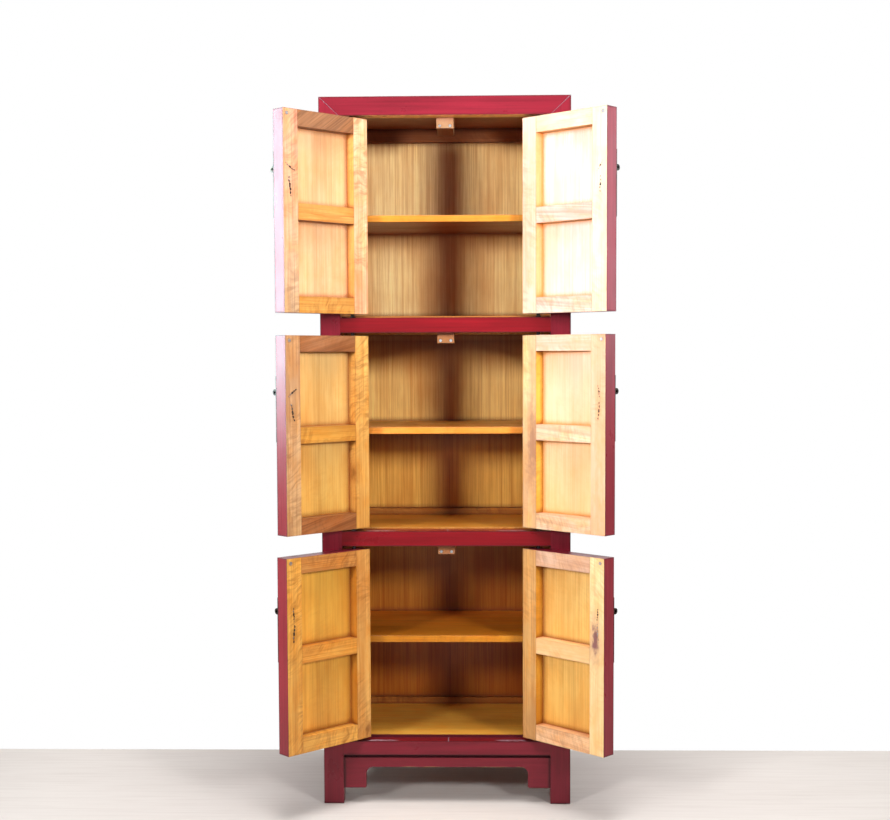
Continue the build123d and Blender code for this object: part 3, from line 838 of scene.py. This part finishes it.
def dome(bm, centre, axes, radius, height, sides, rows):
    """A round nail head."""
    across, up, out = axes
    rings = []
    for k in range(rows):
        rise = k / rows
        spread = radius * (1 - rise ** 2) ** 0.5
        rings.append(ring_of(bm, centre + out * height * rise, across, up, spread, sides))
    tip = bm.verts.new(centre + out * height)
    skin(bm, rings)
    for s in range(sides):
        bm.faces.new((rings[-1][s], rings[-1][(s + 1) % sides], tip)).smooth = True
    bm.faces.new(list(reversed(rings[0])))


def wire(bm, points, radii, out, sides=8):
    """A round wire through points, closed at both ends."""
    rings = []
    for n, (point, radius) in enumerate(zip(points, radii)):
        ahead = (points[min(n + 1, len(points) - 1)] - points[max(n - 1, 0)]).normalized()
        side = ahead.cross(out).normalized()
        rings.append(ring_of(bm, point, side, side.cross(ahead), radius, sides))
    skin(bm, rings)
    bm.faces.new(list(reversed(rings[0])))
    bm.faces.new(rings[-1])


def leg_pair(bm, centre, axes, lean, length, thick):
    """The two legs of an eye, hammered down so that they dip in and out of the wood.

    lean is their angle from upright. They taper from thick, and sway a little sideways.
    """
    along, up, inward = axes
    ray = along * sin(lean) + up * cos(lean)
    sway = along * cos(lean) - up * sin(lean)
    for hand in (-1, 1):
        phase = rng.uniform(0, 2 * pi)
        points, radii = [], []
        for n in range(LEG_POINTS):
            share = n / (LEG_POINTS - 1)
            drift = 0.0016 * sin(6.0 * share + phase) * share
            dip = 0.0017 * sin(17.0 * share + phase)
            lift = 0.75 * thick - 0.0016 + dip - 0.0006 * share ** 4
            points.append(centre + ray * hand * length * share + sway * drift + inward * lift)
            radii.append(thick * (1 - 0.35 * share))
        wire(bm, points, radii, inward)


def door_hardware(door, axes, pivot, free_edge, outer_face, inner_face, middle,
                  thick, lock_lean, pull_lean):
    """The CAD hardware, with bent legs for its straight ones, chased rings, nails and a bar."""
    along, through, up = axes
    out = -through
    strike_edge = free_edge - STRIKE_REACH
    lock_height = middle + PLATE_RISE + LOCK_EYE_RISE
    pull_height = middle + PLATE_RISE - PULL_EYE_DROP

    def spot(u, v, z):
        return pivot + along * u + through * v + up * z

    def change(bm, local):
        legs = [
            v for v in bm.verts
            if local(v.co).y > inner_face - 1e-5 and not local(v.co).x > strike_edge
        ]
        bmesh.ops.delete(bm, geom=legs, context="VERTS")
        bmesh.ops.holes_fill(bm, edges=[e for e in bm.edges if e.is_boundary], sides=0)
        plate = spot(free_edge - PLATE_GAP, outer_face - PLATE_THICKNESS, middle + PLATE_RISE)
        flat = (-along, up, out)
        for inner, outer, rise in RINGS:
            sixth = (outer - inner) / 6
            profile = [
                (outer, -0.0004), (outer, rise * 0.5), (outer - sixth, rise * 0.9),
                ((inner + outer) / 2, rise), (inner + sixth, rise * 0.9),
                (inner, rise * 0.4), (inner, -0.0004),
            ]
            half_ring(bm, plate, flat, profile)
        bar_place = spot(free_edge - PLATE_GAP - BAR[0] / 2,
                         outer_face - PLATE_THICKNESS - BAR[1] / 2 + 0.0002, middle + PLATE_RISE)
        bar_turn = Matrix((along, through, up)).transposed().to_4x4()
        bar = Matrix.Translation(bar_place) @ bar_turn @ Matrix.Diagonal((*BAR, 1))
        bmesh.ops.create_cube(bm, size=1.0, matrix=bar)
        for n in range(NAILS):
            turn = radians(-85 + 170 * n / (NAILS - 1))
            where = plate + (-along * cos(turn) + up * sin(turn)) * NAIL_CIRCLE
            dome(bm, where - out * 0.0001, flat, 0.0013, 0.0008, 8, 2)
        for height in (lock_height, pull_height):
            boss = spot(free_edge - EYE_INSET, outer_face - BOSS_TOP, height)
            for n in range(PETALS):
                turn = 2 * pi * (n + 0.5) / PETALS
                petal = boss + (along * cos(turn) + up * sin(turn)) * PETAL_CIRCLE
                dome(bm, petal - out * 0.0002, flat, 0.0023, 0.0014, 10, 3)
        inside = (along, up, through)
        lock_eye = spot(free_edge - EYE_INSET, inner_face, lock_height)
        pull_eye = spot(free_edge - EYE_INSET, inner_face, pull_height)
        leg_pair(bm, lock_eye, inside, radians(lock_lean), LOCK_LEG, thick * 0.9)
        leg_pair(bm, pull_eye, inside, radians(pull_lean), PULL_LEG, thick * 1.15)
        dome(bm, pull_eye - through * 0.0003, inside, 0.0027, 0.0012, 10, 3)

    def finish(centre, normal):
        on_inside = centre.y > inner_face - 1e-4
        if on_inside and centre.x > strike_edge:
            return "steel"
        bright_legs = door == "bottom_right_door" and centre.z < middle + 0.087
        return ("steel" if bright_legs else "iron") if on_inside else "brass"

    dress(f"{door}_hardware", finish, axes, pivot, ease=0.0004, change=change)


def chase_pull(bm, local):
    """Sink the flat faces of the pull inside a narrow rim."""
    broad = sorted(bm.faces, key=lambda f: -f.calc_area())[:2]
    bmesh.ops.inset_region(bm, faces=broad, thickness=0.0022, depth=-0.0005)


# ---- the doors
STILES = {  # wood of the hinge stile and of the free stile
    "top_left": ("golden", "tan"), "middle_left": ("golden", "tan"),
    "bottom_left": ("golden", "golden"), "top_right": ("cream", "cream"),
    "middle_right": ("fawn", "cream"), "bottom_right": ("fawn", "cream"),
}
RAILS = {  # wood of the top, middle and bottom rail
    "top_left": ("russet", "golden", "golden"), "middle_left": ("chestnut", "golden", "chestnut"),
    "bottom_left": ("tan", "golden", "golden"), "top_right": ("cream", "rosy", "rosy"),
    "middle_right": ("cream", "rosy", "rosy"), "bottom_right": ("rosy", "cream", "rosy"),
}
CREAM_PANELS = ("top_right", "middle_right")
# the stiles' sides take paler or darker woods door by door as painted light and shade, and the rails' undersides
# darker woods as painted shade
INSIDES = {  # wood of the stiles' sides towards the panel, and of the undersides of the rails
    "top_left": ("bright", "umber"), "middle_left": ("golden", "umber"),
    "bottom_left": ("orange", "umber"), "top_right": ("straw", "orange"),
    "middle_right": ("bright", "orange"), "bottom_right": ("orange", "umber"),
}
STILE_TINTS = {  # head and foot of the hinge stile, head and foot of the free stile
    "top_left": ((1.0, 1.06, 2.1), (0.96, 0.98, 1.94), (1.0, 0.89, 1.33), (0.74, 0.95, 1.38)),
    "middle_left": ((0.92, 0.96, 0.92), (0.9, 0.92, 0.78), (0.77, 0.87, 1.1), (0.75, 0.83, 0.92)),
    "bottom_left": ((0.84, 0.79, 0.74), (0.82, 0.78, 0.69), (0.88, 0.82, 0.53), (0.8, 0.73, 0.49)),
    "top_right": ((0.95, 0.86, 1.05), (0.95, 0.85, 1.01), (0.98, 1.0, 1.22), (0.98, 1.0, 1.17)),
    "middle_right": (
        (1.16, 1.43, 1.71), (1.16, 1.41, 1.57), (0.98, 0.78, 0.78), (0.98, 0.76, 0.71)
    ),
    "bottom_right": ((0.9, 0.93, 0.74), (0.88, 0.91, 0.68), (1.03, 0.96, 0.79), (1.03, 0.94, 0.72)),
}
RAIL_TINTS = {  # top, middle and bottom rail
    "top_left": ((0.54, 0.5, 0.51), (0.89, 0.8, 0.75), (0.74, 0.69, 0.55)),
    "middle_left": ((0.66, 0.58, 0.57), (0.77, 0.7, 0.43), (0.585, 0.445, 0.345)),
    "bottom_left": ((0.62, 0.49, 0.29), (0.86, 0.75, 0.46), (0.78, 0.71, 0.46)),
    "top_right": ((0.97, 0.97, 1.05), (0.97, 1.02, 1.31), (0.97, 1.04, 1.31)),
    "middle_right": ((0.97, 0.79, 0.91), (0.97, 1.02, 1.05), (0.97, 0.98, 0.96)),
    "bottom_right": ((0.91, 0.96, 1.04), (1.03, 0.89, 0.71), (0.97, 0.88, 0.71)),
}
PANEL_TINTS = {  # head and foot
    "top_left": ((0.96, 0.98, 1.51), (0.92, 0.9, 1.38)),
    "middle_left": ((0.79, 0.87, 0.97), (0.75, 0.72, 0.42)),
    "bottom_left": ((0.84, 0.76, 0.33), (0.78, 0.63, 0.28)),
    "top_right": ((1.0, 1.04, 1.52), (1.0, 1.02, 1.45)),
    "middle_right": ((1.0, 0.91, 1.05), (1.0, 0.91, 0.75)),
    "bottom_right": ((1.08, 1.18, 1.11), (1.03, 0.96, 0.56)),
}
LEGS = {  # thickness, and degrees from upright of the legs of the lock eye and of the pull eye
    "top_left": (0.0016, 57, 8), "middle_left": (0.0016, -52, 12),
    "bottom_left": (0.0016, 6, -6), "top_right": (0.0008, 40, 5),
    "middle_right": (0.0012, -8, 5), "bottom_right": (0.0012, 4, -5),
}
PANEL_LAP = 0.008
SHADE = (0.044, 0.078)  # distances from the free stile where its shade begins to fade and ends
# painted light: the panel's tint in the free stile's shade, and beyond it
SHADE_TONES = (1.2, 0.95)
PALEST = 1.06  # a panel's tint goes no higher
hinges = {j["child"]: j for j in frame["joints"] if j["name"].endswith("_hinge")}


def node_extent(node, turn, pivot):
    return extent([turn @ (v.co - pivot) for v in frame["nodes"][node].data.vertices])


for door, joint in hinges.items():
    key = door.removesuffix("_door")
    hand = key.split("_")[1]
    axes = door_axes(joint)
    pivot = Vector(joint["pos_m"])
    turn = Matrix(axes).to_3x3()
    low, high = node_extent(f"{door}_stiles", turn, pivot)
    (hinge_edge, outer_face, foot), (free_edge, inner_face, head) = low, high
    middle = (foot + head) / 2
    lap_edge = node_extent(f"{door}_panel", turn, pivot)[1].x - PANEL_LAP

    def on_edge(centre, normal):
        """Whether a face is on one of the four narrow sides of the door."""
        at_end = abs(normal.z) > FACING and not foot + NEAR < centre.z < head - NEAR
        at_side = centre.x < hinge_edge + NEAR or centre.x > free_edge - NEAR
        return abs(normal.y) < FACING and (at_end or at_side)

    def on_stiles(centre, normal):
        if on_edge(centre, normal):
            # the doors' side edges take the paler lacquer, painted light
            return f"{hand}_edge" if abs(normal.x) > FACING else "lacquer"
        if normal.y < -FACING:
            return "lacquer"
        if abs(normal.x) > FACING:
            return INSIDES[key][0]
        return STILES[key][0 if is_hinge_side(centre) else 1]

    def on_rails(centre, normal):
        if normal.y < -FACING or on_edge(centre, normal):
            return "lacquer"
        if normal.z < -FACING:
            return INSIDES[key][1]
        return RAILS[key][row(centre)]

    def row(point):
        return min(int(3 * (head - point.z) / (head - foot)), 2)

    def is_hinge_side(point):
        return point.x < (hinge_edge + free_edge) / 2

    def between(point, head_tint, foot_tint):
        return blend(foot_tint, head_tint, (point.z - foot) / (head - foot))

    def stile_tint(point):
        tints = STILE_TINTS[key]
        return between(point, *(tints[:2] if is_hinge_side(point) else tints[2:]))

    def rail_tint(point):
        return RAIL_TINTS[key][row(point)]

    def panel_tint(point):
        """The free stile shades its side of the panel from one lamp; that side is painted paler to even out the
        shadow.
        """
        share = share_between(*SHADE, lap_edge - point.x)
        even = SHADE_TONES[0] + (SHADE_TONES[1] - SHADE_TONES[0]) * share
        tint = between(point, *PANEL_TINTS[key])
        return [c * min(even, PALEST / tint[0]) for c in tint]

    def stile_knot(centre):
        """The knot in some of the stiles."""
        on_hinge_stile = {
            "middle_right": (hinge_edge + 0.034, inner_face, middle - 0.03),
            "middle_left": (hinge_edge + 0.05, inner_face - 0.004, middle - 0.105),
            "bottom_left": (hinge_edge + 0.012, inner_face, foot + 0.02),
        }
        on_free_stile = {"bottom_right": (free_edge - 0.028, inner_face, middle + 0.044)}
        return (on_hinge_stile if is_hinge_side(centre) else on_free_stile).get(key)

    # arrises between two finishes take bare wood: worn bare wood with a painted highlight along it, pale on the
    # stiles and bright on the rails
    dress(f"{door}_stiles", on_stiles, axes, pivot, grain=2, ease=0.002, knots=stile_knot,
          bare="pale", tone=stile_tint)
    dress(f"{door}_rails", on_rails, axes, pivot, grain=0, ease=0.0014, flush=0, bare="bright",
          tone=rail_tint)
    panel_wood = "cream_panel" if key in CREAM_PANELS else "panel"
    dress(f"{door}_panel", facing(panel_wood, lacquer=[-Y]), axes, pivot, grain=2, ease=0.0006,
          tone=panel_tint, change=sliced_at([lap_edge - inset for inset in SHADE], axes[0], pivot))
    dress(f"{door}_pivots", facing("iron"), axes, pivot, ease=0.0006)
    door_hardware(door, axes, pivot, free_edge, outer_face, inner_face, middle, *LEGS[key])
    dress(f"{door}_pull", facing("brass"), axes, pivot, ease=0.0006, change=chase_pull)

# ---- floor
floor_back = back + 0.057  # where the floor meets the wall in the room
FLOOR_SIZE = 24.0
g = Coat("pale_floor")
where = g.node("ShaderNodeTexCoord", {}, "Object")
cloudy = g.noise(where, 1.5, 6.0, 4.0, 0.6)
streak = g.noise(where, 4.0, 70.0, 4.0, 0.6)
shade = g.plus(g.span(cloudy, 0.35, 0.7, 0.0, 0.2), g.span(streak, 0.45, 0.75, 0.0, 0.3))
colour = g.mix(shade, *FLOOR)
floor_y = g.split(where)[1]
beyond = g.math("GREATER_THAN", floor_y, floor_back)
seen = g.times(beyond, g.node("ShaderNodeLightPath", {}, "Is Camera Ray"))
g.finish(Base_Color=colour, Roughness=0.7, Specular_IOR_Level=0.15)
white = g.node("ShaderNodeEmission", {"Color": WHITE, "Strength": 1.0})
both = g.node("ShaderNodeMixShader", {0: seen, 1: g.shader.outputs[0], 2: white})
g.put(both, g.tree.nodes["Material Output"].inputs["Surface"])
bpy.ops.mesh.primitive_plane_add(size=FLOOR_SIZE, location=(0, 0, 0))
floor = bpy.context.object
floor.name = "floor"
floor.data.materials.append(g.material)
floor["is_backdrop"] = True

# ---- light
AMBIENT = 0.022
scene = bpy.context.scene
scene.view_settings.view_transform = "Standard"
world = bpy.data.worlds.new("studio")
scene.world = world
g = Graph(world)
rays = g.tree.nodes.new("ShaderNodeLightPath").outputs
seen = g.math("MAXIMUM", rays["Is Camera Ray"], rays["Is Glossy Ray"])
seen = g.math("MAXIMUM", seen, rays["Is Transmission Ray"])
ambient = g.node("ShaderNodeBackground", {"Color": WHITE, "Strength": AMBIENT})
backdrop = g.node("ShaderNodeBackground", {"Color": WHITE, "Strength": 1.0})
both = g.node("ShaderNodeMixShader", {0: seen, 1: ambient, 2: backdrop})
g.put(both, g.tree.nodes["World Output"].inputs["Surface"])


def softbox(name, place, target, size, power, colour=WHITE, glare=False):
    """A rectangular lamp that faces a point. A glare card shows in gloss alone."""
    lamp = bpy.data.lights.new(name, "AREA")
    lamp.shape = "RECTANGLE"
    lamp.size, lamp.size_y = size
    lamp.energy = power
    lamp.color = colour
    made = bpy.data.objects.new(name, lamp)
    made.location = place
    made.rotation_euler = (Vector(target) - Vector(place)).to_track_quat("-Z", "Y").to_euler()
    made.visible_diffuse = not glare
    scene.collection.objects.link(made)
    return made


LILAC = (0.6, 0.88, 1.0)
KEY_SIZE, KEY_SPREAD, KEY_HEIGHT = (0.58, 0.5), radians(95), 1.75
AIM = (0, front, 2.0)
for name, x, y, power in (
    ("left_light", -2.004, 2.761, 32.3),
    ("right_light", 1.909, 2.821, 33.8),
):
    key_light = softbox(name, (x, front - y, KEY_HEIGHT), AIM, KEY_SIZE, power)
    key_light.data.spread = KEY_SPREAD
    key_light.visible_glossy = False  # or the lacquered sides would glare white
softbox("ceiling_light", (0.3, front - 0.5, 7.0), (0.3, front - 0.5, 0), (3.0, 3.0), 410)
softbox("overhead_light", (0, front - 1.3, 3.5), (0, front - 1.0, 0), (1.0, 1.0), 37)
window = softbox("left_window", (-2.6, front - 0.6, 1.1), (0.4, front, 0.9), (0.9, 1.2), 2.5)
window.data.spread = radians(60)
softbox("left_card", (-2.4, front + 0.35, 1.72), (-0.4, front, 1.72), (0.9, 1.5), 142, LILAC, True)
softbox("right_card", (2.4, front + 0.35, 2.0), (0.4, front, 1.6), (0.9, 1.9), 26, LILAC, True)

# ---- camera
FRAME_WIDTH = 890
SENSOR_WIDTH = 36.0
FOCAL_PIXELS = 1371.43
AXIS_DROP = 23.53  # pixels from the middle of the frame down to the optical axis
YAW, PITCH, ROLL = radians(-1.275), radians(3.256), radians(-0.227)
EYE = Vector((0.07755, front - 3.5642, 1.18376))
ahead = Vector((sin(YAW) * cos(PITCH), cos(YAW) * cos(PITCH), -sin(PITCH)))
level = Vector((cos(YAW), -sin(YAW), 0))
upward = level.cross(ahead)
right = level * cos(ROLL) + upward * sin(ROLL)
above = upward * cos(ROLL) - level * sin(ROLL)
lens = bpy.data.cameras.new("camera")
camera = bpy.data.objects.new("camera", lens)
scene.collection.objects.link(camera)
look = Matrix((right, above, -ahead)).transposed().to_4x4()
camera.matrix_world = Matrix.Translation(EYE) @ look
lens.sensor_width = SENSOR_WIDTH
lens.lens = FOCAL_PIXELS / FRAME_WIDTH * SENSOR_WIDTH
lens.shift_y = AXIS_DROP / FRAME_WIDTH
lens.clip_start, lens.clip_end = 0.05, 60.0
scene.camera = camera

low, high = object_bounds()
{"cad": [list(cad_low), list(cad_high)], "visual": [list(low), list(high)]}
